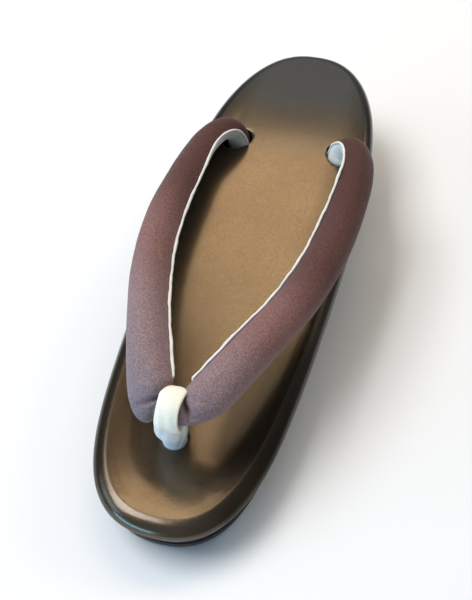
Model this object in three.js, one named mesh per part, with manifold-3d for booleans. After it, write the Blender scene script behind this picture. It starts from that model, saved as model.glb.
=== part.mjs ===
// Zori sandal: wedge sole with a wrapped footbed body and a thin outsole, a padded
// V-shaped strap anchored in three sockets, and a velvet toe loop with its post.
// Millimetres. +Z up, toe towards -Y, heel towards +Y, origin under the middle of the sole.
import * as THREE from 'three';
import { mergeVertices } from 'three/addons/utils/BufferGeometryUtils.js';
import Module from 'manifold-3d';

// ---------------------------------------------------------------- sizes
const LENGTH = 240;              // toe end to heel end
const HALF_WIDTH = 39.10;        // half width at mid length
const WIDTH_SLOPE = 4.02;        // how the half width grows towards the heel
const WIDTH_ENDS = 10.65;        // fullness kept towards both ends
const WIDTH_SKEW = -6.89;        // moves fullness from the heel to the ball
const TOE_ROUND = 0.86;          // plan roundness of the toe end
const HEEL_ROUND = 0.84;         // plan roundness of the heel end

const TOE_TOP = 20.3;            // top of the footbed rim at the toe end
const HEEL_TOP = 42.8;           // top of the footbed rim at the heel end
const TOP_SAG = 0.8;             // the wedge's top line dips this much at mid length
const TOP_WAVE = 1.30;           // the top climbs more at mid length and levels at both ends
const TOE_SPRING = 3.2;          // lift of the underside at the toe end
const SPRING_PART = 0.28;        // share of the length that lifts
const OUTSOLE_THICK = 3.0;
const GAP = 0.3;                 // clearance where separate pieces meet
const SEAM_GAP = 0.4;            // the same under the body, measured upright

// Section of the body from the underside seam out to the side and in over the rim.
// inset: distance in from the widest outline; down: depth below the rim's top line
const BODY_SIDE = [
  { inset: 5.8, rise: 0.00 },    // rise: share of the side's height from seam to widest line
  { inset: 5.1, rise: 0.05 },
  { inset: 2.6, rise: 0.45 },
  { inset: 0.6, rise: 0.82 },
];
const BODY_RIM = [
  { inset: 0.0, down: 4.2 },
  { inset: 0.5, down: 2.7 },
  { inset: 2.0, down: 1.1 },
  { inset: 4.9, down: 0.0 },
];
// from the rim's crest into the footbed; drop is a share of the bed edge's own drop
const BODY_BED = [
  { inset: 6.2, drop: 0.14 },
  { inset: 9.0, drop: 0.52 },
  { inset: 12.0, drop: 1.0 },
];
const EDGE_DROP = 0.8;           // drop from the rim's crest to the bed's edge
const TOE_UPRIGHT = 0.28;        // share by which the side leans in less at the toe
const TOE_RIM = 0.12;            // share by which the rim is broader at the toe
const OUTSOLE_SIDE = [
  { inset: 5.8, up: 0.0 },
  { inset: 5.1, up: 0.6 },
  { inset: 4.9, up: 3.0 },
];

// One side of the V strap, from the joint at the toe to the anchor in the rear socket.
// x, y: centre of the seam plane; lean: how far both sides sit off the mid line, as the
// strap was set by hand; h: height above the plain wedge at that y; wide: seam to seam;
// pad, lining: fullness above and below the seam plane; nx, ny, nz: where the padded face looks
const STRAP = [
  { x: 0.0,  lean: 0.0, y: -85.2, h: 19.2, wide: 10.6, pad: 5.4, lining: 2.4, nx: 0.00, ny: -0.72, nz: 0.70 },
  { x: 4.7,  lean: 0.0, y: -84.0, h: 19.3, wide: 11.0, pad: 5.8, lining: 2.4, nx: 0.26, ny: -0.66, nz: 0.71 },
  { x: 7.6,  lean: 0.0, y: -80.4, h: 19.8, wide: 14.8, pad: 8.6, lining: 2.6, nx: 0.45, ny: -0.50, nz: 0.74 },
  { x: 11.4, lean: 0.0, y: -73.5, h: 20.0, wide: 16.0, pad: 9.6, lining: 2.6, nx: 0.55, ny: -0.28, nz: 0.79 },
  { x: 19.0, lean: 0.1, y: -56.0, h: 19.6, wide: 15.8, pad: 9.9, lining: 2.6, nx: 0.52, ny: -0.12, nz: 0.85 },
  { x: 27.6, lean: 0.5, y: -31.0, h: 16.2, wide: 15.8, pad: 9.9, lining: 2.6, nx: 0.49, ny: 0.00, nz: 0.87 },
  { x: 32.2, lean: 0.9, y: -5.0,  h: 13.2, wide: 15.8, pad: 9.8, lining: 2.6, nx: 0.52, ny: 0.00, nz: 0.85 },
  { x: 32.8, lean: 1.8, y: 20.0,  h: 10.8, wide: 15.4, pad: 9.2, lining: 2.5, nx: 0.62, ny: 0.00, nz: 0.78 },
  { x: 31.4, lean: 2.4, y: 40.5,  h: 9.0,  wide: 14.6, pad: 8.6, lining: 2.4, nx: 0.78, ny: 0.15, nz: 0.60 },
  { x: 28.0, lean: 2.4, y: 52.5,  h: 7.0,  wide: 13.6, pad: 7.6, lining: 2.2, nx: 0.72, ny: 0.58, nz: 0.42 },
  { x: 24.6, lean: 2.0, y: 57.8,  h: 2.4,  wide: 12.0, pad: 6.2, lining: 2.0, nx: 0.62, ny: 0.74, nz: 0.26 },
  { x: 22.8, lean: 1.6, y: 58.4,  h: -4.0, wide: 11.0, pad: 5.2, lining: 1.8, nx: 0.60, ny: 0.80, nz: 0.00 },
  { x: 22.4, lean: 1.6, y: 58.2,  h: -10., wide: 10.4, pad: 4.8, lining: 1.8, nx: 0.60, ny: 0.80, nz: 0.00 },
];
// the left side bulges more just beside the band; added to its rows by number
const LEFT_FULLER = { 2: { x: 0.6, y: -1.2, wide: 2.8 }, 3: { x: 0.3, y: -0.6, wide: 1.4 } };
const STRAP_STEPS = 48;          // sections along one side
const STRAP_SIDES = 16;          // points round a section

const REAR_SOCKET = { x: 23.0, lean: 1.6, y: 58.6, long: 7.6, short: 6.0, turn: 0.64, depth: 14 };
const TOE_SOCKET = { x: -3.0, y: -83.6, radius: 5.2, depth: 10 };

// Toe loop: a velvet band round the strap joint, its ring lying in the mid plane
const LOOP_WIDE = 8.8, LOOP_THICK = 2.2;
const LOOP_X = -1.0;             // the band sits a little to one side of the joint
// Toe post: rounds of its profile, up from inside the socket; it leans to meet the loop
const POST = [
  { r: 4.4, h: -8.0 }, { r: 4.6, h: -1.2 }, { r: 5.2, h: 1.4 }, { r: 5.7, h: 4.4 },
  { r: 5.7, h: 7.6 }, { r: 5.2, h: 10.6 }, { r: 4.6, h: 15.0 },
];
const POST_LEAN_Y = -0.26;
const POST_SIDES = 20;

const AROUND = 96;               // points round the outline
const lerp = (a, b, t) => a + (b - a) * t;

// ---------------------------------------------------------------- outline and heights
const share = (y) => THREE.MathUtils.clamp(y / LENGTH + 0.5, 0, 1);
function onOutline(a) {
  const c = Math.cos(a), s = Math.sin(a), e = s < 0 ? TOE_ROUND : HEEL_ROUND;
  const half = HALF_WIDTH + WIDTH_SLOPE * s + WIDTH_ENDS * s * s + WIDTH_SKEW * s * s * s;
  return { x: Math.sign(c) * half * Math.pow(Math.abs(c), e), y: (LENGTH / 2) * s };
}
// a point of the outline drawn in square to its edge
function outlinePoint(k, inset) {
  const a = (k / AROUND) * 2 * Math.PI, d = 0.004, p = onOutline(a), q = onOutline(a - d), r = onOutline(a + d);
  const tx = r.x - q.x, ty = r.y - q.y, len = Math.hypot(tx, ty);
  return { x: p.x - (ty / len) * inset, y: p.y + (tx / len) * inset };
}
// the strap and the post are set out from the plain wedge, the footbed from the shaped one
const wedge = (y) => lerp(TOE_TOP, HEEL_TOP, share(y)) - TOP_SAG * Math.sin(Math.PI * share(y));
const topLine = (y) => wedge(y) + TOP_WAVE * Math.sin(2 * Math.PI * (share(y) - 0.5));
const underside = (y) => TOE_SPRING * Math.max(0, (SPRING_PART - share(y)) / SPRING_PART) ** 2;
// how far the footbed's middle lies below the rim: a shallow bowl that runs out level
// with the rim over the heel
const ease = (y, from, to) => { const f = THREE.MathUtils.clamp((y - from) / (to - from), 0, 1); return f * f * (3 - 2 * f); };
const dish = (y) => 2.2 - 1.9 * ease(y, 15, 80);
const edgeDrop = (y) => EDGE_DROP * (1 - 0.85 * ease(y, 45, 90));
const bowlEnds = (y) => 1 - Math.min(1, Math.abs(y) / 109) ** 6;
const toeShare = (k) => Math.max(0, -Math.sin((k / AROUND) * 2 * Math.PI)) ** 2;

// ---------------------------------------------------------------- lofts
// rings: equal-length closed loops of points; first and last are closed with a fan
function loft(rings, capFirst, capLast) {
  const n = rings[0].length, pos = [], idx = [];
  rings.forEach((r) => r.forEach((p) => pos.push(p.x, p.y, p.z)));
  for (let i = 0; i + 1 < rings.length; i++) for (let k = 0; k < n; k++) {
    const a = i * n + k, b = i * n + (k + 1) % n, c = a + n, d = b + n;
    idx.push(a, b, d, a, d, c);
  }
  const fan = (start, centre, flip) => {
    const m = pos.length / 3; pos.push(centre.x, centre.y, centre.z);
    for (let k = 0; k < n; k++) {
      const a = start + k, b = start + (k + 1) % n;
      if (flip) idx.push(m, b, a); else idx.push(m, a, b);
    }
  };
  fan(0, capFirst, true); fan((rings.length - 1) * n, capLast, false);
  const g = new THREE.BufferGeometry();
  g.setAttribute('position', new THREE.Float32BufferAttribute(pos, 3)); g.setIndex(idx);
  return g;
}
const ring = (inset, height, toe = 0) => Array.from({ length: AROUND }, (_, k) => {
  const p = outlinePoint(k, inset * (1 + toe * toeShare(k))); return { x: p.x, y: p.y, z: height(p.y) };
});
// a smaller copy of a loop, drawn towards the long axis
const shrink = (loop, f, height) => loop.map((p) => {
  const y = p.y * (1 - (1 - f) * 0.42), x = p.x * f; return { x, y, z: height(x, y) };
});

function outsoleGeometry() {
  const rings = OUTSOLE_SIDE.map((r) => ring(r.inset, (y) => underside(y) + r.up, -TOE_UPRIGHT));
  const low = rings[0], high = rings[rings.length - 1];
  const inner = shrink(low, 0.5, (x, y) => underside(y)), innerTop = shrink(high, 0.5, (x, y) => underside(y) + OUTSOLE_THICK);
  const c = (up) => ({ x: 0, y: 0, z: underside(0) + up });
  const flatLow = shrink(low, 0.06, (x, y) => underside(y)), flatTop = shrink(high, 0.06, (x, y) => underside(y) + OUTSOLE_THICK);
  return loft([flatLow, inner, ...rings, innerTop, flatTop], c(0), c(OUTSOLE_THICK));
}
function bodyGeometry() {
  const seam = (y) => underside(y) + OUTSOLE_THICK + SEAM_GAP;
  const widest = (y) => topLine(y) - BODY_RIM[0].down;
  const sides = BODY_SIDE.map((r) => ring(r.inset, (y) => lerp(seam(y), widest(y), r.rise), -TOE_UPRIGHT));
  const rims = BODY_RIM.map((r) => ring(r.inset, (y) => topLine(y) - r.down, TOE_RIM));
  const beds = BODY_BED.map((r) => ring(r.inset, (y) => topLine(y) - r.drop * edgeDrop(y), TOE_RIM));
  const bed = beds[beds.length - 1];
  const dishes = [0.66, 0.33, 0.06].map((f) => shrink(bed, f, (x, y) =>
    topLine(y) - edgeDrop(y) - (dish(y) - edgeDrop(y)) * (1 - f * f) * bowlEnds(y)));
  const floor = [0.06, 0.5].map((f) => shrink(sides[0], f, (x, y) => seam(y)));
  return loft([...floor, ...sides, ...rims, ...beds, ...dishes], { x: 0, y: 0, z: seam(0) }, { x: 0, y: 0, z: topLine(0) - dish(0) });
}

// ---------------------------------------------------------------- strap
// the table read as smooth curves: both sides of the V in one run, mirrored at the joint
const COLUMNS = ['x', 'lean', 'y', 'h', 'wide', 'pad', 'lining', 'nx', 'ny', 'nz'];
function strapRows() {
  const right = STRAP, none = { x: 0, y: 0, wide: 0 };
  const left = STRAP.map((r, k) => {
    const f = LEFT_FULLER[k] || none;
    return { ...r, x: -r.x - f.x, y: r.y + f.y, wide: r.wide + f.wide, nx: -r.nx };
  }).slice(1).reverse();
  return [...left, ...right];
}
function strapSample(rows, t) {
  const k = Math.min(rows.length - 2, Math.floor(t)), f = t - k, out = {};
  const at = (i) => rows[Math.max(0, Math.min(rows.length - 1, i))];
  for (const c of COLUMNS) {
    const a = at(k)[c], b = at(k + 1)[c], ma = (b - at(k - 1)[c]) / 2, mb = (at(k + 2)[c] - a) / 2;
    const f2 = f * f, f3 = f2 * f;
    out[c] = (2 * f3 - 3 * f2 + 1) * a + (f3 - 2 * f2 + f) * ma + (3 * f2 - 2 * f3) * b + (f3 - f2) * mb;
  }
  return out;
}
function strapFrames(grow) {
  const rows = strapRows(), n = STRAP_STEPS * 2, frames = [];
  const centre = (s) => new THREE.Vector3(s.x + s.lean, s.y, wedge(s.y) + s.h);
  for (let i = 0; i <= n; i++) {
    const t = (i / n) * (rows.length - 1), s = strapSample(rows, t), c = centre(s), e = 0.02;
    const a = centre(strapSample(rows, Math.max(0, t - e))), b = centre(strapSample(rows, Math.min(rows.length - 1, t + e)));
    const along = b.clone().sub(a).normalize();
    const face = new THREE.Vector3(s.nx, s.ny, s.nz); face.addScaledVector(along, -face.dot(along)).normalize();
    const across = new THREE.Vector3().crossVectors(face, along).normalize();
    frames.push({ c, along, face, across, wide: s.wide + 2 * grow, pad: s.pad + grow, lining: s.lining + grow });
  }
  return frames;
}
function strapGeometry(grow = 0) {
  const frames = strapFrames(grow);
  frames[0].c.addScaledVector(frames[0].along, -3 * grow); frames[frames.length - 1].c.addScaledVector(frames[frames.length - 1].along, 3 * grow);
  const rings = frames.map((f) => Array.from({ length: STRAP_SIDES }, (_, k) => {
    const a = (k / STRAP_SIDES) * 2 * Math.PI, c = Math.cos(a), s = Math.sin(a);
    return f.c.clone().addScaledVector(f.across, (f.wide / 2) * c).addScaledVector(f.face, (s > 0 ? f.pad : f.lining) * s);
  }));
  const mid = (r) => r.reduce((v, p) => v.add(p), new THREE.Vector3()).divideScalar(r.length);
  return loft(rings, mid(rings[0]), mid(rings[rings.length - 1]));
}

// ---------------------------------------------------------------- toe loop and post
function loopGeometry(grow = 0) {
  const f = strapFrames(0)[STRAP_STEPS];       // the joint's section, in the mid plane
  const N = 28, M = 10, pos = [], idx = [];
  for (let i = 0; i < N; i++) {
    const a = (i / N) * 2 * Math.PI, c = Math.cos(a), s = Math.sin(a);
    const half = s > 0 ? f.pad : f.lining;
    const dir = new THREE.Vector3().addScaledVector(f.across, c * half).addScaledVector(f.face, s * f.wide / 2).normalize();
    const on = f.c.clone().addScaledVector(f.across, (f.wide / 2) * c).addScaledVector(f.face, half * s);
    const inner = on.clone().addScaledVector(dir, GAP + 0.2 - grow);
    for (let j = 0; j < M; j++) {
      const b = (j / M) * 2 * Math.PI;
      const q = inner.clone().addScaledVector(dir, (LOOP_THICK / 2 + grow) * (1 - Math.cos(b))); q.x += LOOP_X + (LOOP_WIDE / 2 + grow) * Math.sin(b);
      pos.push(q.x, q.y, q.z);
    }
  }
  for (let i = 0; i < N; i++) for (let j = 0; j < M; j++) {
    const a = i * M + j, b = i * M + (j + 1) % M, c = ((i + 1) % N) * M + j, d = ((i + 1) % N) * M + (j + 1) % M;
    idx.push(a, b, d, a, d, c);
  }
  const g = new THREE.BufferGeometry();
  g.setAttribute('position', new THREE.Float32BufferAttribute(pos, 3)); g.setIndex(idx);
  return g;
}
function postGeometry() {
  const base = wedge(TOE_SOCKET.y), pts = [new THREE.Vector2(0, POST[0].h)];
  POST.forEach((p) => pts.push(new THREE.Vector2(p.r, p.h)));
  pts.push(new THREE.Vector2(0, POST[POST.length - 1].h));
  const g = new THREE.LatheGeometry(pts, POST_SIDES);
  g.rotateX(Math.PI / 2);
  const at = g.attributes.position;
  for (let i = 0; i < at.count; i++) at.setY(i, at.getY(i) + POST_LEAN_Y * Math.max(0, at.getZ(i)));
  g.translate(TOE_SOCKET.x, TOE_SOCKET.y, base);
  return g;
}

// ---------------------------------------------------------------- sockets cut in the body
const wasm = await Module(); wasm.setup();
function solid(geometry) {
  const g = geometry.clone(); g.deleteAttribute('normal'); g.deleteAttribute('uv');
  const m = mergeVertices(g, 1e-4);
  let s = new wasm.Manifold(new wasm.Mesh({ numProp: 3, vertProperties: m.attributes.position.array, triVerts: new Uint32Array(m.index.array) }));
  return s;
}
function back(s) {
  const m = s.getMesh(), g = new THREE.BufferGeometry();
  g.setAttribute('position', new THREE.Float32BufferAttribute(m.vertProperties, 3)); g.setIndex(Array.from(m.triVerts));
  return g;
}
function socketCutter(side) {
  const g = new THREE.CylinderGeometry(1, 0.94, REAR_SOCKET.depth + 20, 24);
  g.rotateX(Math.PI / 2); g.scale(REAR_SOCKET.long, REAR_SOCKET.short, 1);
  g.rotateZ(-side * REAR_SOCKET.turn);
  g.translate(side * REAR_SOCKET.x + REAR_SOCKET.lean, REAR_SOCKET.y, topLine(REAR_SOCKET.y) + 10 - REAR_SOCKET.depth / 2);
  return g;
}
function toeCutter() {
  const g = new THREE.CylinderGeometry(TOE_SOCKET.radius, TOE_SOCKET.radius, TOE_SOCKET.depth + 20, 24);
  g.rotateX(Math.PI / 2); g.translate(TOE_SOCKET.x, TOE_SOCKET.y, topLine(TOE_SOCKET.y) + 10 - TOE_SOCKET.depth / 2);
  return g;
}

// ---------------------------------------------------------------- pieces
const paint = (hex, rough) => new THREE.MeshStandardMaterial({ color: hex, roughness: rough, metalness: 0 });
const group = new THREE.Group();
function add(name, geometry, material) {
  const mesh = new THREE.Mesh(geometry, material); mesh.name = name; group.add(mesh);
}
const strapRoom = solid(strapGeometry(GAP + 0.1));
const grooveRoom = solid(strapGeometry(GAP + 0.3)); // wider, as the strap bends hard at its anchors
const body = solid(bodyGeometry()).subtract(solid(socketCutter(1))).subtract(solid(socketCutter(-1)))
  .subtract(solid(toeCutter())).subtract(grooveRoom);
// the loop is cleared all round the joint, and a little further in the V's crotch
const CLEARINGS = [{ y: 0, z: 0 }, { y: 0.6, z: 0 }, { y: 0.4, z: 0.4 }];
const loop = CLEARINGS.reduce((s, c) => s.subtract(solid(strapGeometry(GAP + 0.55).translate(0, c.y, c.z))), solid(loopGeometry()));
const post = solid(postGeometry()).subtract(solid(loopGeometry(GAP + 0.1))).subtract(strapRoom);
const main = (s) => s.decompose().sort((a, b) => b.volume() - a.volume())[0];
add('outsole', outsoleGeometry(), paint(0x1d1b1a, 0.7));
add('sole_body', back(main(body)), paint(0x5b4733, 0.35));
add('straps', strapGeometry(), paint(0x6b4a4c, 0.85));
add('toe_loop', back(main(loop)), paint(0xe9e6d8, 0.9));
add('toe_post', back(main(post)), paint(0xdfe3dc, 0.9));

export default group;
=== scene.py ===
import math

import bmesh
import bpy
import numpy as np
from mathutils import Matrix, Vector


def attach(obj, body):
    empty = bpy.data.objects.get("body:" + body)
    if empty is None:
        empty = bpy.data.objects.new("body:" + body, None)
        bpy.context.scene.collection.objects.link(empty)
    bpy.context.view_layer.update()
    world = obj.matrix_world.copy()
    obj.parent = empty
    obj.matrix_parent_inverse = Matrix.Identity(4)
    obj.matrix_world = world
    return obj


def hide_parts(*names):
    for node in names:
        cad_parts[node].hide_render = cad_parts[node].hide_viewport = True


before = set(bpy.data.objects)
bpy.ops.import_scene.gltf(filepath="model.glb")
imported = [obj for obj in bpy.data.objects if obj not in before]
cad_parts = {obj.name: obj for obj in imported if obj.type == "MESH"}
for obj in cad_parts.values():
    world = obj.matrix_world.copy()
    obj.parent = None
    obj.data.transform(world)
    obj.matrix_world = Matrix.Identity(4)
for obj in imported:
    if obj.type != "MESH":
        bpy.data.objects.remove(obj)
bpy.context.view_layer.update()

BODY = "root"
MM = 0.001

# ================================================================== camera
EL, AZ, ROLL = math.radians(49.58), math.radians(29.13), math.radians(-11.0)
DIST, FOCAL, UC, VC = 372.12, 808.15, 335.32, 275.59
back = Vector((math.sin(AZ) * math.cos(EL), -math.cos(AZ) * math.cos(EL), math.sin(EL)))
fwd = -back
right = fwd.cross(Vector((0, 0, 1))).normalized()
up = right.cross(fwd)
right, up = math.cos(ROLL) * right + math.sin(ROLL) * up, -math.sin(ROLL) * right + math.cos(ROLL) * up
cam_at = Vector((0, -1, 20)) - fwd * DIST - right * ((UC - 236) / FOCAL * DIST) + up * ((VC - 300) / FOCAL * DIST)
# from the same standpoint, turned to bring the one shoe to the middle of the frame
turn = fwd.rotation_difference((fwd + right * (89 / FOCAL) - up * (1 / FOCAL)).normalized()).to_matrix()
right, up, back = turn @ right, turn @ up, turn @ back
ZOOM = 1.13
cam_data = bpy.data.cameras.new("camera")
cam_data.sensor_fit = "AUTO"
cam_data.sensor_width = 36.0
cam_data.lens = FOCAL * ZOOM * 36.0 / 600.0
cam_data.clip_start = 0.01
cam = bpy.data.objects.new("camera", cam_data)
m = Matrix((right, up, back)).transposed().to_4x4()
m.translation = cam_at * MM
cam.matrix_world = m
bpy.context.scene.collection.objects.link(cam)
bpy.context.scene.camera = cam


# ================================================================== mesh helpers
def make(name, verts, faces, smooth=True):
    """A mesh object from millimetre points."""
    me = bpy.data.meshes.new(name)
    me.from_pydata((np.asarray(verts, dtype=float) * MM).tolist(), [], faces)
    me.validate(clean_customdata=False)
    bm = bmesh.new()
    bm.from_mesh(me)
    bmesh.ops.remove_doubles(bm, verts=bm.verts, dist=1e-7)
    bmesh.ops.recalc_face_normals(bm, faces=bm.faces)
    bm.to_mesh(me)
    bm.free()
    ob = bpy.data.objects.new(name, me)
    bpy.context.scene.collection.objects.link(ob)
    for p in me.polygons:
        p.use_smooth = smooth
    return ob


def grid_faces(rows, cols, wrap_rows=False, wrap_cols=True):
    faces = []
    for i in range(rows if wrap_rows else rows - 1):
        for k in range(cols if wrap_cols else cols - 1):
            a, b = i * cols + k, i * cols + (k + 1) % cols
            i2 = (i + 1) % rows
            c, d = i2 * cols + k, i2 * cols + (k + 1) % cols
            faces.append((a, b, d, c))
    return faces


def loft(name, rings, wrap=False, cap=True):
    """rings: (R, K, 3). Open lofts are closed by a fan at each end."""
    rings = np.asarray(rings, dtype=float)
    R, K, _ = rings.shape
    verts = rings.reshape(-1, 3)
    faces = grid_faces(R, K, wrap_rows=wrap)
    if not wrap and cap:
        c0, c1 = rings[0].mean(0), rings[-1].mean(0)
        verts = np.vstack([verts, c0, c1])
        n0, n1 = len(verts) - 2, len(verts) - 1
        for k in range(K):
            faces.append((n0, (k + 1) % K, k))
            faces.append((n1, (R - 1) * K + k, (R - 1) * K + (k + 1) % K))
    return make(name, verts, faces)


def catmull(points, per):
    """points: (P, ...) array read as a smooth open curve, per steps to a span."""
    p = np.asarray(points, dtype=float)
    n = len(p)
    out = []
    for i in range(n - 1):
        a, b = p[i], p[i + 1]
        ma = (b - p[max(0, i - 1)]) / 2
        mb = (p[min(n - 1, i + 2)] - a) / 2
        for j in range(per):
            f = j / per
            f2, f3 = f * f, f * f * f
            out.append((2 * f3 - 3 * f2 + 1) * a + (f3 - 2 * f2 + f) * ma + (3 * f2 - 2 * f3) * b + (f3 - f2) * mb)
    out.append(p[-1])
    return np.array(out)


def smoothstep(a, b, x):
    t = np.clip((x - a) / (b - a), 0, 1)
    return t * t * (3 - 2 * t)


def auto_smooth(ob, degrees):
    me = ob.data
    me.polygons.foreach_set("use_smooth", [True] * len(me.polygons))
    me.set_sharp_from_angle(angle=math.radians(degrees))


# ================================================================== the sole's own functions
LENGTH = 240.0
HALF_WIDTH, WIDTH_SLOPE, WIDTH_ENDS, WIDTH_SKEW = 39.10, 4.02, 10.65, -6.89
TOE_ROUND, HEEL_ROUND = 0.86, 0.84
TOE_TOP, HEEL_TOP, TOP_SAG, TOP_WAVE = 20.3, 42.8, 0.8, 1.30
TOE_SPRING, SPRING_PART = 3.2, 0.28
OUTSOLE_THICK, SEAM_GAP = 3.0, 0.4
AROUND = 400
ANG = np.arange(AROUND) / AROUND * 2 * math.pi


def on_outline(a):
    c, s = np.cos(a), np.sin(a)
    e = np.where(s < 0, TOE_ROUND, HEEL_ROUND)
    half = HALF_WIDTH + WIDTH_SLOPE * s + WIDTH_ENDS * s ** 2 + WIDTH_SKEW * s ** 3
    return np.sign(c) * half * np.abs(c) ** e, LENGTH / 2 * s


TOE_PART = np.maximum(0, -np.sin(ANG)) ** 2
TOE_UPRIGHT, TOE_RIM = 0.28, 0.12


def outline(inset, toe=0.0):
    """The outline drawn in square to its edge; toe widens or narrows the inset at the toe."""
    inset = inset * (1 + toe * TOE_PART)
    x, y = on_outline(ANG)
    x0, y0 = on_outline(ANG - 0.004)
    x1, y1 = on_outline(ANG + 0.004)
    tx, ty = x1 - x0, y1 - y0
    ln = np.hypot(tx, ty)
    return x - ty / ln * inset, y + tx / ln * inset


def share(y):
    return np.clip(np.asarray(y, dtype=float) / LENGTH + 0.5, 0, 1)


def wedge(y):
    s = share(y)
    return TOE_TOP + (HEEL_TOP - TOE_TOP) * s - TOP_SAG * np.sin(math.pi * s)


def top_line(y):
    return wedge(y) + TOP_WAVE * np.sin(2 * math.pi * (share(y) - 0.5))


def underside(y):
    return TOE_SPRING * np.maximum(0, (SPRING_PART - share(y)) / SPRING_PART) ** 2


def dish(y):
    """How far the footbed's middle lies below the rim's top."""
    y = np.asarray(y, dtype=float)
    return 2.2 - 1.9 * smoothstep(15, 80, y) + 0.2 * smoothstep(-30, -85, y)


def edge_drop(y):
    return 0.8 * (1 - 0.85 * smoothstep(45, 90, np.asarray(y, dtype=float)))


def bowl_ends(y):
    y = np.asarray(y, dtype=float)
    return 1 - np.minimum(1, np.where(y < 0, -y / 106.5, y / 108.0)) ** np.where(y < 0, 8, 6)


BED_EDGE = 12.0
BED_X, BED_Y = outline(BED_EDGE, TOE_RIM)
ORDER = np.argsort(BED_Y)


def bed_height(x, y, half):
    f = np.clip(np.abs(x) / np.maximum(half, 1e-6), 0, 1)
    e = edge_drop(y)
    return top_line(y) - e - (dish(y) - e) * (1 - f * f) * bowl_ends(y)


def bed_z(x, y):
    """Height of the footbed surface at a point well inside the rim."""
    half = float(np.interp(y, BED_Y[ORDER], np.abs(BED_X)[ORDER]))
    return float(bed_height(x, y, half))


def body_rings():
    """The body from the edge of its underside up the side, over the rim, to the bed's edge."""
    seam = lambda y: underside(y) + OUTSOLE_THICK + SEAM_GAP
    widest = lambda y: top_line(y) - 4.2
    rows = []

    def ring(inset, zf, toe):
        x, y = outline(inset, toe)
        rows.append(np.stack([x, y, zf(y)], 1))
    # the skin turns under at the seam, then climbs the side
    for inset, rise in ((6.6, 0.0), (6.0, 0.02), (5.55, 0.16), (5.35, 0.5), (5.22, 1.2)):
        ring(inset, lambda y, r=rise: seam(y) + r, -TOE_UPRIGHT)
    for inset, rise in ((4.65, 0.14), (3.75, 0.30), (2.7, 0.48), (1.6, 0.68), (0.75, 0.84), (0.2, 0.95)):
        ring(inset, lambda y, r=rise: seam(y) + (widest(y) - seam(y)) * r, -TOE_UPRIGHT)
    # over the shoulder and up to the rim's crest
    for inset, down in ((0.0, 4.2), (0.2, 3.3), (0.65, 2.45), (1.3, 1.65), (2.1, 1.0), (3.0, 0.52), (3.8, 0.22), (4.4, 0.06), (4.9, 0.0)):
        ring(inset, lambda y, d=down: top_line(y) - d, TOE_RIM)
    # from the crest into the footbed
    for inset, part in ((5.4, 0.035), (6.1, 0.13), (7.0, 0.26), (8.2, 0.42), (9.6, 0.64), (10.8, 0.82), (BED_EDGE, 1.0)):
        ring(inset, lambda y, d=part: top_line(y) - d * edge_drop(y), TOE_RIM)
    return catmull(np.array(rows), 4)


def sole_mesh(name):
    rings = body_rings()
    R, K, _ = rings.shape
    verts = list(rings.reshape(-1, 3))
    faces = grid_faces(R, K)
    q = K // 4                          # index of the heel end; 3q is the toe end

    def fill(base, cols, height, flip):
        """Closes a ring with straight rows from side to side."""
        prev = None
        for j in range(1, 2 * q):
            right_k, left_k = (3 * q + j) % K, 3 * q - j
            a, b = verts[base + left_k], verts[base + right_k]
            row = [base + left_k]
            for i in range(1, cols):
                t = i / cols
                x, y = a[0] + (b[0] - a[0]) * t, a[1] + (b[1] - a[1]) * t
                row.append(len(verts))
                verts.append(np.array([x, y, height(x, y, abs(a[0]))]))
            row.append(base + right_k)
            if prev is None:
                for i in range(cols):
                    f = (base + 3 * q, row[i + 1], row[i])
                    faces.append(f if not flip else f[::-1])
            else:
                for i in range(cols):
                    f = (prev[i], prev[i + 1], row[i + 1], row[i])
                    faces.append(f if not flip else f[::-1])
            prev = row
        for i in range(cols):
            f = (base + q, prev[i], prev[i + 1])
            faces.append(f if not flip else f[::-1])
    fill((R - 1) * K, 60, lambda x, y, h: float(bed_height(x, y, h)), False)
    fill(0, 10, lambda x, y, h: float(underside(y) + OUTSOLE_THICK + SEAM_GAP), True)
    return make(name, verts, faces)


# ================================================================== the strap's own functions
STRAP = [  # x, lean, y, h, wide, pad, lining, nx, ny, nz
    (0.0, 0.0, -85.2, 19.2, 10.6, 5.4, 2.4, 0.00, -0.72, 0.70),
    (4.7, 0.0, -84.0, 19.3, 11.0, 5.8, 2.4, 0.26, -0.66, 0.71),
    (7.6, 0.0, -80.4, 19.8, 14.8, 8.6, 2.6, 0.45, -0.50, 0.74),
    (11.4, 0.0, -73.5, 20.0, 16.0, 9.6, 2.6, 0.55, -0.28, 0.79),
    (19.0, 0.1, -56.0, 19.6, 15.8, 9.9, 2.6, 0.52, -0.12, 0.85),
    (27.6, 0.5, -31.0, 16.2, 15.8, 9.9, 2.6, 0.49, 0.00, 0.87),
    (32.2, 0.9, -5.0, 13.2, 15.8, 9.8, 2.6, 0.52, 0.00, 0.85),
    (32.8, 1.8, 20.0, 10.8, 15.4, 9.2, 2.5, 0.62, 0.00, 0.78),
    (31.4, 2.4, 40.5, 9.0, 14.6, 8.6, 2.4, 0.78, 0.15, 0.60),
    (28.0, 2.4, 52.5, 7.0, 13.6, 7.6, 2.2, 0.72, 0.58, 0.42),
    (24.6, 2.0, 57.8, 2.4, 12.0, 6.2, 2.0, 0.62, 0.74, 0.26),
    (22.8, 1.6, 58.4, -4.0, 11.0, 5.2, 1.8, 0.60, 0.80, 0.00),
    (22.4, 1.6, 58.2, -10.0, 10.4, 4.8, 1.8, 0.60, 0.80, 0.00),
]


# the left side bulges more just beside the band: row, and what is added to x, y and wide
LEFT_FULLER = ((2, 0.6, -1.2, 2.8), (3, 0.3, -0.6, 1.4))


def strap_rows():
    r = np.array(STRAP)
    l = r.copy()
    for k, dx, dy, dw in LEFT_FULLER:
        l[k, 0] += dx
        l[k, 2] += dy
        l[k, 4] += dw
    l = l[1:][::-1]
    l[:, 0] *= -1
    l[:, 7] *= -1
    return np.vstack([l, r])


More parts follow.
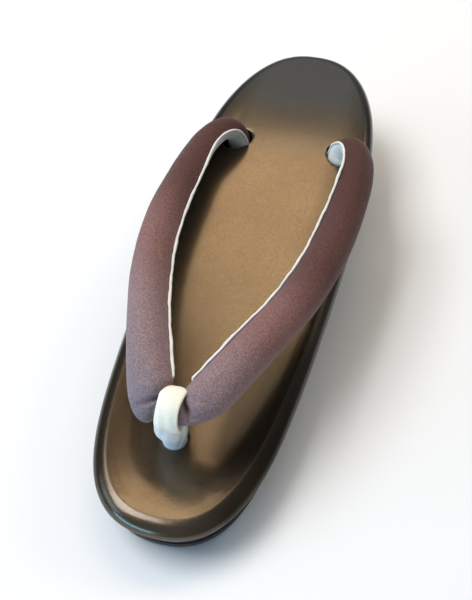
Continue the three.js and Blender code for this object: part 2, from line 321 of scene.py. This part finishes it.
def strap_sample(rows, t):
    k = int(min(len(rows) - 2, math.floor(t)))
    f = t - k
    at = lambda i: rows[max(0, min(len(rows) - 1, i))]
    a, b = at(k), at(k + 1)
    ma, mb = (b - at(k - 1)) / 2, (at(k + 2) - a) / 2
    f2, f3 = f * f, f * f * f
    return (2 * f3 - 3 * f2 + 1) * a + (f3 - 2 * f2 + f) * ma + (3 * f2 - 2 * f3) * b + (f3 - f2) * mb


ROLL_LEFT, ROLL_RIGHT = -60.0, -20.0


def strap_centre(s):
    return np.array([s[0] + s[1], s[2], float(wedge(s[2])) + s[3]])


def strap_frames(steps):
    """Sections along the whole V, from the left anchor over the joint to the right one."""
    rows = strap_rows()
    out = []
    for i in range(steps + 1):
        # sections stand closest at the joint, where the small creases are
        q = 2 * i / steps - 1
        t = (1 + math.copysign(0.35 * abs(q) + 0.65 * abs(q) ** 2.2, q)) * (len(rows) - 1) / 2
        s = strap_sample(rows, t)
        c = strap_centre(s)
        a = strap_centre(strap_sample(rows, max(0, t - 0.02)))
        b = strap_centre(strap_sample(rows, min(len(rows) - 1, t + 0.02)))
        along = (b - a) / np.linalg.norm(b - a)
        face = s[7:10] - along * np.dot(s[7:10], along)
        face /= np.linalg.norm(face)
        across = np.cross(face, along)
        across /= np.linalg.norm(across)
        # each end was set into its socket with its own small turn
        n_rows = len(rows) - 1
        left_end, right_end = smoothstep(4.2, 1.2, t), smoothstep(n_rows - 4.2, n_rows - 1.2, t)
        phi = math.radians(ROLL_LEFT * left_end + ROLL_RIGHT * right_end)
        face, across = face * math.cos(phi) - across * math.sin(phi), across * math.cos(phi) + face * math.sin(phi)
        out.append(dict(c=c, along=along, face=face, across=across, wide=s[4], pad=s[5], lining=s[6], t=t))
    length = np.cumsum([0] + [np.linalg.norm(out[i + 1]["c"] - out[i]["c"]) for i in range(steps)])
    mid = length[steps // 2]
    for f, l in zip(out, length):
        f["s"] = l - mid          # signed run from the joint: minus on the left side
        # the lining is gathered thick where each end goes down into the sole
        n_rows = len(rows) - 1
        f["deep"] = f["lining"] + 0.1 * smoothstep(2.8, 1.4, f["t"]) + 2.6 * smoothstep(n_rows - 2.8, n_rows - 1.4, f["t"])
    return out


STEPS = 600
FRAMES = strap_frames(STEPS)
S_END = FRAMES[-1]["s"]

# Creases of the padded side: run s from the joint (minus left), turn around the section in
# degrees (0 inner seam, 90 top of the padding, 180 outer seam), reach in s and in turn,
# slant of the trough (degrees of turn for each mm of run), depth in mm (minus for a ridge)
CREASES = [
    # the nip just left of the band, with a soft roll above and below it
    (-6.6, 76, 1.0, 12, -22.0, 1.9),
    (-5.9, 70, 0.7, 11, -22.0, 1.6),
    (-8.6, 60, 2.2, 16, -16.0, -0.45),
    (-8.6, 108, 2.2, 16, -16.0, -0.35),
    # the slot right of the band, and the fold that curls round its lower end
    (4.2, 74, 0.85, 27, 16.0, 3.6),
    (6.0, 118, 1.6, 10, 4.0, 0.9),
    (7.6, 96, 1.9, 18, 12.0, -0.5),
    (5.4, 142, 1.9, 9, -4.0, 0.5),
    # slack further along
    (-16.0, 60, 4.5, 13, 2.0, 0.30),
    (15.0, 74, 5.0, 14, -2.0, 0.28),
    (-30.0, 50, 7.0, 12, 0.8, 0.18),
    (44.0, 62, 8.0, 12, -0.6, 0.18),
    # where each end turns down into its socket
    (-158.0, 120, 5.0, 18, 1.5, 0.35),
    (158.0, 110, 5.0, 18, -1.5, 0.30),
]


def crease_depth(s, turn):
    d = 0.0
    for cs, ct, rs, rt, slant, depth in CREASES:
        u = (s - cs) / rs
        v = (turn - ct - slant * (s - cs)) / rt
        d += depth * math.exp(-u * u - v * v)
    return d


def wave(s, seed, size):
    """A slow wander along the strap, the same on each run."""
    return size * (math.sin(s * 0.31 + seed) * 0.5 + math.sin(s * 0.117 + seed * 2.3) * 0.8 + math.sin(s * 0.73 + seed * 0.7) * 0.25)


def fabric_section(f, n_face, n_back):
    pts = []
    half = f["wide"] / 2 - 0.25
    s = f["s"]
    for j in range(n_face + 1):
        a = math.pi * j / n_face
        c, v = math.cos(a), math.sin(a)
        u = math.copysign(abs(c) ** 0.88, c) * half
        if c < 0:       # on the left the fold hangs fuller right up to the band
            u -= 3.0 * abs(c) * math.exp(-((s + 6.4) / 2.4) ** 2) * smoothstep(-4.4, -5.6, s)
        h = f["pad"] * abs(v) ** 0.92
        h -= crease_depth(s, math.degrees(a)) * min(1.0, v * 1.6)
        # the padding is packed a little unevenly
        h += wave(s, 1.0 + 0.6 * math.cos(a), 0.10) * v
        pts.append(f["c"] + f["across"] * u + f["face"] * h)
    for j in range(1, n_back):
        a = math.pi + math.pi * j / n_back
        pts.append(f["c"] + f["across"] * (math.cos(a) * half * 0.96) + f["face"] * (f["lining"] - 0.9) * math.sin(a))
    return pts


def lining_section(f, n):
    """The lining under the padding, with a rolled edge at both seams."""
    half, s = f["wide"] / 2, f["s"]
    edge = 0.62 * smoothstep(10.0, 12.5, abs(s))
    tuck = 1 - edge / 0.62
    top, low = [], []
    for j in range(n + 1):
        a = math.pi * j / n
        c, v = math.cos(a), math.sin(a)
        inner = half * 0.97 + 0.1 - (1.9 * tuck if c > 0 else 0.7)
        low.append((c * inner, -(f["deep"] * v)))
        top.append((c * inner, -((f["lining"] - 0.8) * v)))
    roll_in = 0.32 + wave(s * 1.7, 3.1, 0.17)
    roll_out = 0.25 + wave(s, 5.7, 0.12)
    r_in = max(0.12, edge * (0.90 + wave(s * 2.1, 0.4, 0.14)))
    r_out = max(0.12, edge * 0.9)
    pts = []
    r_out = 0.3
    cin, cout = (half + roll_in - (roll_in + 1.9) * tuck, 0.15 - 0.9 * tuck), (-half + 0.9, -0.55)
    for j in range(9):                      # bead at the inner seam
        a = math.radians(-120 + 240 * j / 8)
        pts.append((cin[0] + r_in * math.cos(a), cin[1] + r_in * math.sin(a)))
    for p in top[1:-1]:
        pts.append(p)
    for j in range(9):                      # bead at the outer seam
        a = math.radians(60 + 240 * j / 8)
        pts.append((cout[0] + r_out * math.cos(a), cout[1] + r_out * math.sin(a)))
    for p in reversed(low[1:-1]):
        pts.append(p)
    return [f["c"] + f["across"] * u + f["face"] * v for u, v in pts]


# ================================================================== toe loop and post
LOOP_WIDE, LOOP_THICK, LOOP_X, GAP = 8.8, 2.2, -1.0, 0.3
POST = [(4.4, -8.0), (4.6, -1.2), (5.2, 1.4), (5.7, 4.4), (5.7, 7.6), (5.2, 10.6), (4.6, 15.0)]
POST_LEAN_Y = -0.26
TOE_SOCKET = dict(x=-3.0, y=-83.6, radius=4.6, depth=10.0)
REAR_SOCKET = dict(x=23.2, lean=1.6, y=58.6, long=6.7, short=5.3, turn=0.64, depth=14.0)


def loop_rings():
    f = FRAMES[STEPS // 2]
    N, M = 200, 40
    rings = []
    for i in range(N):
        a = i / N * 2 * math.pi
        c, s = math.cos(a), math.sin(a)
        half = f["pad"] if s > 0 else f["lining"]
        d = f["across"] * c * half + f["face"] * s * f["wide"] / 2
        d /= np.linalg.norm(d)
        on = f["c"] + f["across"] * (f["wide"] / 2) * c + f["face"] * half * s
        base = on + d * (GAP + 0.2)
        ring = []
        wide = (1 - 0.07 * max(0.0, s)) * LOOP_WIDE / 2 * (1 + 0.03 * math.sin(3 * a + 0.6))
        for j in range(M):
            b = j / M * 2 * math.pi
            sb, cb = math.sin(b), math.cos(b)
            x = math.copysign(abs(sb) ** 0.72, sb) * wide
            t = LOOP_THICK / 2 * (1 - math.copysign(abs(cb) ** 0.8, cb))
            # soft folds along the band on its outer face
            if cb < 0:
                t += -cb * (0.10 * math.sin(x * 1.7 + 1.3 * math.sin(a * 2)) - 0.16 * math.exp(-((abs(x) - wide * 0.80) / 0.45) ** 2))
            p = base + d * t
            p = p + np.array([x + LOOP_X, 0, 0])
            ring.append(p)
        rings.append(ring)
    return np.array(rings)


def post_rings():
    base = np.array([TOE_SOCKET["x"], TOE_SOCKET["y"], float(wedge(TOE_SOCKET["y"]))])
    prof = catmull(np.array(POST), 12)
    N = 96
    rings = []
    for r, h in prof:
        ring = []
        for k in range(N):
            a = k / N * 2 * math.pi
            # a wrapped fold that winds up the post, and lesser ones
            d = 0.0
            for a0, turn, width, depth in ((-0.75, 0.055, 0.16, 0.75), (-2.2, 0.05, 0.28, 0.35), (1.2, 0.06, 0.3, 0.4), (2.8, 0.05, 0.3, 0.4)):
                q = (a - a0 - turn * h + math.pi) % (2 * math.pi) - math.pi
                d += depth * math.exp(-(q / width) ** 2)
            rr = r - d * smoothstep(-4, 3, h) * 0.9 - 0.28 * math.exp(-((h - 2.6) / 0.35) ** 2) - 0.22 * math.exp(-((h - 5.4 - 0.8 * math.cos(a + 1.8)) / 0.4) ** 2)
            ring.append(base + np.array([rr * math.cos(a), rr * math.sin(a) + POST_LEAN_Y * max(0, h), h]))
        rings.append(ring)
    return np.array(rings)


# ================================================================== materials
def new_material(name):
    mat = bpy.data.materials.new(name)
    mat.use_nodes = True
    nt = mat.node_tree
    nt.nodes.clear()
    out = nt.nodes.new("ShaderNodeOutputMaterial")
    bsdf = nt.nodes.new("ShaderNodeBsdfPrincipled")
    nt.links.new(bsdf.outputs["BSDF"], out.inputs["Surface"])
    return mat, nt, bsdf


def node(nt, kind, **props):
    n = nt.nodes.new(kind)
    for k, v in props.items():
        setattr(n, k, v)
    return n


def coords(nt, scale=(1, 1, 1), rotation=(0, 0, 0)):
    tc = node(nt, "ShaderNodeTexCoord")
    mp = node(nt, "ShaderNodeMapping")
    mp.inputs["Scale"].default_value = scale
    mp.inputs["Rotation"].default_value = rotation
    nt.links.new(tc.outputs["Object"], mp.inputs["Vector"])
    return mp.outputs["Vector"]


def noise(nt, vec, scale, detail=2.0, rough=0.5, distortion=0.0):
    n = node(nt, "ShaderNodeTexNoise")
    n.inputs["Scale"].default_value = scale
    n.inputs["Detail"].default_value = detail
    n.inputs["Roughness"].default_value = rough
    n.inputs["Distortion"].default_value = distortion
    nt.links.new(vec, n.inputs["Vector"])
    return n.outputs["Fac"]


def voronoi(nt, vec, scale, feature="F1"):
    n = node(nt, "ShaderNodeTexVoronoi", feature=feature)
    n.inputs["Scale"].default_value = scale
    nt.links.new(vec, n.inputs["Vector"])
    return n.outputs["Distance"]


def ramp(nt, fac, stops, mode="LINEAR"):
    n = node(nt, "ShaderNodeValToRGB")
    n.color_ramp.interpolation = mode
    els = n.color_ramp.elements
    while len(els) < len(stops):
        els.new(0.5)
    for e, (p, c) in zip(els, stops):
        e.position = p
        e.color = (*c, 1) if len(c) == 3 else c
    nt.links.new(fac, n.inputs["Fac"])
    return n.outputs["Color"]


def mix(nt, a, b, fac, blend="MIX"):
    n = node(nt, "ShaderNodeMix", data_type="RGBA", blend_type=blend)
    for sock, v in ((n.inputs[6], a), (n.inputs[7], b), (n.inputs[0], fac)):
        if hasattr(v, "links") or hasattr(v, "is_linked"):
            nt.links.new(v, sock)
        elif isinstance(v, (int, float)):
            sock.default_value = v
        else:
            sock.default_value = (*v, 1)
    return n.outputs[2]


def maprange(nt, v, a, b, c, d):
    n = node(nt, "ShaderNodeMapRange")
    nt.links.new(v, n.inputs["Value"])
    for key, val in (("From Min", a), ("From Max", b), ("To Min", c), ("To Max", d)):
        n.inputs[key].default_value = val
    return n.outputs["Result"]


def bump(nt, height, strength, distance, normal=None):
    n = node(nt, "ShaderNodeBump")
    n.inputs["Strength"].default_value = strength
    n.inputs["Distance"].default_value = distance
    nt.links.new(height, n.inputs["Height"])
    if normal is not None:
        nt.links.new(normal, n.inputs["Normal"])
    return n.outputs["Normal"]


def skin_material():
    """Smooth coated skin of the footbed body: dark bronze with a pearl."""
    mat, nt, b = new_material("footbed_skin")
    v = coords(nt)
    blotch = noise(nt, v, 38.0, 3.0, 0.55)
    base = ramp(nt, blotch, [(0.30, (0.086, 0.058, 0.032)), (0.52, (0.094, 0.065, 0.037)), (0.75, (0.104, 0.073, 0.043))])
    # painted shade: the skin is darker towards the rim and the toe, for the shadow and dark reflection of the straps
    # and post on the footbed; greyer over the heel is a painted cool reflection
    sep = node(nt, "ShaderNodeSeparateXYZ")
    nt.links.new(v, sep.inputs[0])
    off = node(nt, "ShaderNodeMath", operation="ABSOLUTE")
    nt.links.new(sep.outputs["X"], off.inputs[0])
    nearer = node(nt, "ShaderNodeMath", operation="ADD")
    nt.links.new(off.outputs[0], nearer.inputs[0])
    nt.links.new(maprange(nt, sep.outputs["Y"], -0.070, -0.020, 0.009, 0.0), nearer.inputs[1])
    rim = maprange(nt, nearer.outputs[0], 0.019, 0.033, 1.0, 0.34)
    toe = maprange(nt, sep.outputs["Y"], -0.098, -0.060, 0.92, 1.0)
    heel = maprange(nt, sep.outputs["Y"], 0.048, 0.088, 0.0, 1.0)
    shade = node(nt, "ShaderNodeMath", operation="MULTIPLY")
    nt.links.new(rim, shade.inputs[0])
    nt.links.new(toe, shade.inputs[1])
    # painted shadow beside the right side of the strap: a darker, less glossy patch
    strap_shadow_patch = maprange(nt, sep.outputs["X"], 0.004, 0.014, 0.0, 0.72)
    for lo, hi in ((-0.098, -0.084), (-0.028, -0.042)):
        part = node(nt, "ShaderNodeMath", operation="MULTIPLY")
        nt.links.new(strap_shadow_patch, part.inputs[0])
        nt.links.new(maprange(nt, sep.outputs["Y"], lo, hi, 0.0, 1.0), part.inputs[1])
        strap_shadow_patch = part.outputs[0]
    keep = node(nt, "ShaderNodeMath", operation="SUBTRACT")
    keep.inputs[0].default_value = 1.0
    nt.links.new(strap_shadow_patch, keep.inputs[1])
    both = node(nt, "ShaderNodeMath", operation="MULTIPLY")
    nt.links.new(shade.outputs[0], both.inputs[0])
    nt.links.new(keep.outputs[0], both.inputs[1])
    shade = both
    # painted reflection: greyer over the heel, standing in for the cool light reflected there
    base = mix(nt, base, (0.064, 0.057, 0.047), heel)
    # painted shade colour: a near-black brown mixed in wherever the shade mask falls
    dark = mix(nt, base, (0.015, 0.011, 0.007), 1.0)
    base = mix(nt, dark, base, shade.outputs[0])
    pearl = noise(nt, v, 1900.0, 2.0, 0.7)
    base = mix(nt, base, ramp(nt, pearl, [(0.34, (0.74, 0.74, 0.74)), (0.52, (1.0, 1.0, 1.0)), (0.68, (1.26, 1.25, 1.22))]), 1.0, "MULTIPLY")
    nt.links.new(base, b.inputs["Base Color"])
    b.inputs["Metallic"].default_value = 0.75
    b.inputs["IOR"].default_value = 1.5
    # the coat and specular level are thinned where the painted shade falls, and the coat is whole again over the rim
    # and down the side
    coat = maprange(nt, shade.outputs[0], 0.25, 1.0, 0.14, 0.42)
    for over in (maprange(nt, off.outputs[0], 0.0325, 0.0350, 0.0, 0.50), maprange(nt, sep.outputs["Y"], -0.1065, -0.1110, 0.0, 0.60)):
        top = node(nt, "ShaderNodeMath", operation="MAXIMUM")
        nt.links.new(coat, top.inputs[0])
        nt.links.new(over, top.inputs[1])
        coat = top.outputs[0]
    nt.links.new(coat, b.inputs["Coat Weight"])
    nt.links.new(maprange(nt, shade.outputs[0], 0.25, 1.0, 0.22, 0.5), b.inputs["Specular IOR Level"])
    b.inputs["Coat Roughness"].default_value = 0.12
    b.inputs["Coat IOR"].default_value = 1.5
    fine = noise(nt, v, 900.0, 3.0, 0.6)
    nt.links.new(maprange(nt, fine, 0.3, 0.7, 0.22, 0.27), b.inputs["Roughness"])
    n1 = bump(nt, noise(nt, v, 1500.0, 2.0, 0.6), 0.22, 0.00012)
    n2 = bump(nt, noise(nt, v, 240.0, 2.0, 0.5), 0.10, 0.00030, n1)
    nt.links.new(n2, b.inputs["Normal"])
    return mat


def rubber_material():
    mat, nt, b = new_material("outsole_rubber")
    v = coords(nt)
    base = ramp(nt, noise(nt, v, 120.0, 3.0), [(0.3, (0.012, 0.011, 0.010)), (0.7, (0.022, 0.020, 0.018))])
    nt.links.new(base, b.inputs["Base Color"])
    b.inputs["Roughness"].default_value = 0.58
    n1 = bump(nt, noise(nt, v, 1400.0, 2.0), 0.25, 0.00015)
    nt.links.new(n1, b.inputs["Normal"])
    return mat


def fabric_material():
    """Crepe-like cloth shaded from burgundy brown at the anchors to mauve grey at the toe."""
    mat, nt, b = new_material("strap_fabric")
    v = coords(nt)
    sep = node(nt, "ShaderNodeSeparateXYZ")
    nt.links.new(v, sep.inputs[0])
    along = maprange(nt, sep.outputs["Y"], -0.090, 0.066, 0.0, 1.0)
    # painted light and shade: the left strap lighter, the right one darker and redder, for the light falling from the
    # left
    side = maprange(nt, sep.outputs["X"], -0.030, 0.030, -0.05, 0.19)
    add = node(nt, "ShaderNodeMath", operation="ADD", use_clamp=True)
    nt.links.new(along, add.inputs[0])
    nt.links.new(side, add.inputs[1])
    t = add.outputs[0]
    base = ramp(nt, t, [
        (0.00, (0.200, 0.160, 0.178)), (0.18, (0.240, 0.160, 0.160)), (0.42, (0.205, 0.100, 0.088)),
        (0.66, (0.092, 0.036, 0.029)), (1.00, (0.066, 0.022, 0.016))], "EASE")
    speck = noise(nt, v, 1700.0, 2.0, 0.7)
    light = ramp(nt, speck, [(0.34, (0.66, 0.66, 0.66)), (0.52, (1.0, 1.0, 1.0)), (0.68, (1.42, 1.38, 1.36))])
    base = mix(nt, base, light, 1.0, "MULTIPLY")
    nt.links.new(base, b.inputs["Base Color"])
    b.inputs["Roughness"].default_value = 0.80
    b.inputs["Sheen Weight"].default_value = 0.14
    b.inputs["Sheen Roughness"].default_value = 0.42
    b.inputs["Sheen Tint"].default_value = (0.86, 0.80, 0.86, 1)
    b.inputs["Specular IOR Level"].default_value = 0.35
    n1 = bump(nt, speck, 0.55, 0.00022)
    crepe = voronoi(nt, coords(nt, (1, 0.6, 1)), 1500.0)
    n2 = bump(nt, crepe, 0.35, 0.00020, n1)
    nt.links.new(n2, b.inputs["Normal"])
    return mat


def lining_material():
    mat, nt, b = new_material("strap_lining")
    v = coords(nt)
    base = ramp(nt, noise(nt, v, 300.0, 3.0), [(0.3, (0.70, 0.69, 0.64)), (0.7, (0.80, 0.79, 0.74))])
    nt.links.new(base, b.inputs["Base Color"])
    b.inputs["Roughness"].default_value = 0.9
    b.inputs["Sheen Weight"].default_value = 0.3
    b.inputs["Sheen Roughness"].default_value = 0.4
    n1 = bump(nt, noise(nt, v, 2400.0, 2.0, 0.7), 0.5, 0.00020)
    nt.links.new(n1, b.inputs["Normal"])
    return mat


def velvet_material(name, lo, hi):
    mat, nt, b = new_material(name)
    v = coords(nt)
    base = ramp(nt, noise(nt, v, 260.0, 3.0, 0.6), [(0.3, lo), (0.7, hi)])
    nt.links.new(base, b.inputs["Base Color"])
    b.inputs["Roughness"].default_value = 0.92
    b.inputs["Sheen Weight"].default_value = 0.6
    b.inputs["Sheen Roughness"].default_value = 0.35
    n1 = bump(nt, noise(nt, v, 2100.0, 3.0, 0.7), 0.6, 0.00025)
    n2 = bump(nt, noise(nt, v, 520.0, 2.0, 0.5), 0.25, 0.00040, n1)
    nt.links.new(n2, b.inputs["Normal"])
    return mat


def floor_material():
    mat, nt, b = new_material("pale_floor")
    v = coords(nt)
    base = ramp(nt, noise(nt, v, 3.0, 2.0), [(0.3, (0.83, 0.83, 0.825)), (0.7, (0.85, 0.85, 0.845))])
    nt.links.new(base, b.inputs["Base Color"])
    b.inputs["Roughness"].default_value = 0.95
    b.inputs["Specular IOR Level"].default_value = 0.1
    return mat


# ================================================================== pieces
def socket_cutter(cx, cy, rx, ry, turn, depth, flare):
    """A tapered plug with a flared mouth, standing square to the footbed."""
    z0 = bed_z(cx, cy)
    dx = (bed_z(cx + 3, cy) - bed_z(cx - 3, cy)) / 6
    dy = (bed_z(cx, cy + 3) - bed_z(cx, cy - 3)) / 6
    n = np.array([-dx, -dy, 1.0])
    n /= np.linalg.norm(n)
    u = np.array([math.cos(turn), math.sin(turn), 0.0])
    u -= n * np.dot(u, n)
    u /= np.linalg.norm(u)
    w = np.cross(n, u)
    c = np.array([cx, cy, z0])
    prof = [(0.0, -depth), (0.86, -depth)]
    rings = []
    rows = [(-depth, 0.0, 0.90), (-flare * 2.2, 0.0, 0.97)]
    for j in range(9):          # quarter round lip
        a = math.radians(8 + 78 * j / 8)
        rows.append((-flare * (1 - math.sin(a)) + 0.02, flare * (1 - math.cos(a)), 1.0))
    rows.append((6.0, flare * 1.0 + 9.0, 1.0))
    for h, grow, f in rows:
        ring = []
        for k in range(72):
            a = k / 72 * 2 * math.pi
            ring.append(c + u * (rx * f + grow) * math.cos(a) + w * (ry * f + grow) * math.sin(a) + n * h)
        rings.append(ring)
    return loft("cutter", np.array(rings))


def cut(ob, cutter):
    md = ob.modifiers.new("cut", "BOOLEAN")
    md.operation = "DIFFERENCE"
    md.solver = "EXACT"
    md.object = cutter
    bpy.context.view_layer.update()
    dg = bpy.context.evaluated_depsgraph_get()
    me = bpy.data.meshes.new_from_object(ob.evaluated_get(dg))
    ob.modifiers.clear()
    old = ob.data
    ob.data = me
    bpy.data.meshes.remove(old)
    old = cutter.data
    bpy.data.objects.remove(cutter)
    bpy.data.meshes.remove(old)


def outsole_rings():
    rows = []
    for inset, up_ in ((6.2, 0.0), (5.75, 0.05), (5.35, 0.3), (5.12, 0.75), (5.0, 1.4), (4.92, 2.2), (4.98, 2.7), (5.3, 2.96), (5.8, 3.0)):
        x, y = outline(inset, -TOE_UPRIGHT)
        rows.append(np.stack([x, y, underside(y) + up_], 1))
    return catmull(np.array(rows), 3)


def outsole_mesh(name):
    rings = outsole_rings()
    R, K, _ = rings.shape
    verts = list(rings.reshape(-1, 3))
    faces = grid_faces(R, K)
    q = K // 4
    for base, cols, up_ in (((R - 1) * K, 6, 3.0), (0, 60, 0.0)):
        prev = None
        for j in range(1, 2 * q):
            right_k, left_k = (3 * q + j) % K, 3 * q - j
            a, b = verts[base + left_k], verts[base + right_k]
            row = [base + left_k]
            for i in range(1, cols):
                x, y = a[0] + (b[0] - a[0]) * i / cols, a[1] + (b[1] - a[1]) * i / cols
                row.append(len(verts))
                verts.append(np.array([x, y, float(underside(y)) + up_]))
            row.append(base + right_k)
            if prev is None:
                faces += [(base + 3 * q, row[i + 1], row[i]) for i in range(cols)]
            else:
                faces += [(prev[i], prev[i + 1], row[i + 1], row[i]) for i in range(cols)]
            prev = row
        faces += [(base + q, prev[i], prev[i + 1]) for i in range(cols)]
    return make(name, verts, faces)


skin, rubber, fabric, lining = skin_material(), rubber_material(), fabric_material(), lining_material()
# painted light: one off-white velvet, tinted warm on the loop and cool on the post for the warm light from above and
# the cool light from the front
velvet_loop_warm_lit = velvet_material("loop_velvet", (0.87, 0.84, 0.68), (0.93, 0.91, 0.78))
velvet_post_cool_lit = velvet_material("post_velvet", (0.84, 0.88, 0.86), (0.92, 0.94, 0.92))


def finish_piece(ob, mat, node_name):
    ob.data.materials.clear()
    ob.data.materials.append(mat)
    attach(ob, BODY)
    if node_name:
        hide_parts(node_name)


sole = sole_mesh("sole_skin")
for side in (1, -1):
    R = REAR_SOCKET
    cut(sole, socket_cutter(side * R["x"] + R["lean"], R["y"], R["long"], R["short"], -side * R["turn"], R["depth"], 1.0))
cut(sole, socket_cutter(TOE_SOCKET["x"], TOE_SOCKET["y"], TOE_SOCKET["radius"], TOE_SOCKET["radius"], 0.0, TOE_SOCKET["depth"], 0.8))
auto_smooth(sole, 40)
finish_piece(sole, skin, "sole_body")

outsole = outsole_mesh("outsole_sheet")
auto_smooth(outsole, 50)
finish_piece(outsole, rubber, "outsole")

fab = loft("strap_padding", np.array([fabric_section(f, 56, 16) for f in FRAMES]))
finish_piece(fab, fabric, "straps")

lin = loft("strap_lining", np.array([lining_section(f, 20) for f in FRAMES]))
finish_piece(lin, lining, "straps")

band = loft("toe_band", loop_rings(), wrap=True)
finish_piece(band, velvet_loop_warm_lit, "toe_loop")

post = loft("toe_post_velvet", post_rings())
finish_piece(post, velvet_post_cool_lit, "toe_post")

# ================================================================== stage
fl = bmesh.new()
bmesh.ops.create_grid(fl, x_segments=8, y_segments=8, size=4.0)
me = bpy.data.meshes.new("floor")
fl.to_mesh(me)
fl.free()
floor = bpy.data.objects.new("floor", me)
floor.data.materials.append(floor_material())
bpy.context.scene.collection.objects.link(floor)

world = bpy.data.worlds.new("studio")
bpy.context.scene.world = world
world.use_nodes = True
bg = world.node_tree.nodes.get("Background")
bg.inputs["Color"].default_value = (0.82, 0.92, 1.0, 1)
bg.inputs["Strength"].default_value = 0.30


def panel(name, azimuth, elevation, dist, size, colour, radiance, target=(0, 0, 0.03)):
    """A soft box. azimuth is measured from +Y towards -X."""
    az, el = math.radians(azimuth), math.radians(elevation)
    d = Vector((-math.sin(az) * math.cos(el), math.cos(az) * math.cos(el), math.sin(el)))
    li = bpy.data.lights.new(name, "AREA")
    li.shape = "RECTANGLE"
    li.size, li.size_y = size
    li.color = colour
    li.energy = radiance * math.pi * size[0] * size[1]
    ob = bpy.data.objects.new(name, li)
    ob.location = Vector(target) + d * dist
    ob.rotation_euler = d.to_track_quat("Z", "Y").to_euler()
    bpy.context.scene.collection.objects.link(ob)
    return ob


panel("warm_back", 9, 60, 1.6, (1.12, 0.40), (1.0, 0.75, 0.46), 4.8)
panel("cool_back", 8, 43, 1.7, (1.3, 0.26), (0.62, 0.80, 1.0), 0.7)
panel("window_left", 98, 62, 1.7, (1.1, 0.9), (0.95, 0.96, 1.0), 7.4)
panel("sky_left", 114, 27, 1.5, (0.9, 0.5), (0.50, 0.77, 1.0), 2.6)
panel("sky_front", 150, 9, 1.2, (0.8, 0.20), (0.24, 0.60, 1.0), 9.0)
panel("window_right", -36, 42, 1.6, (0.5, 0.26), (1.0, 0.93, 0.82), 9.0)

sc = bpy.context.scene
sc.view_settings.view_transform = "Standard"
sc.view_settings.look = "None"
sc.view_settings.exposure = 0.0
sc.view_settings.gamma = 1.0
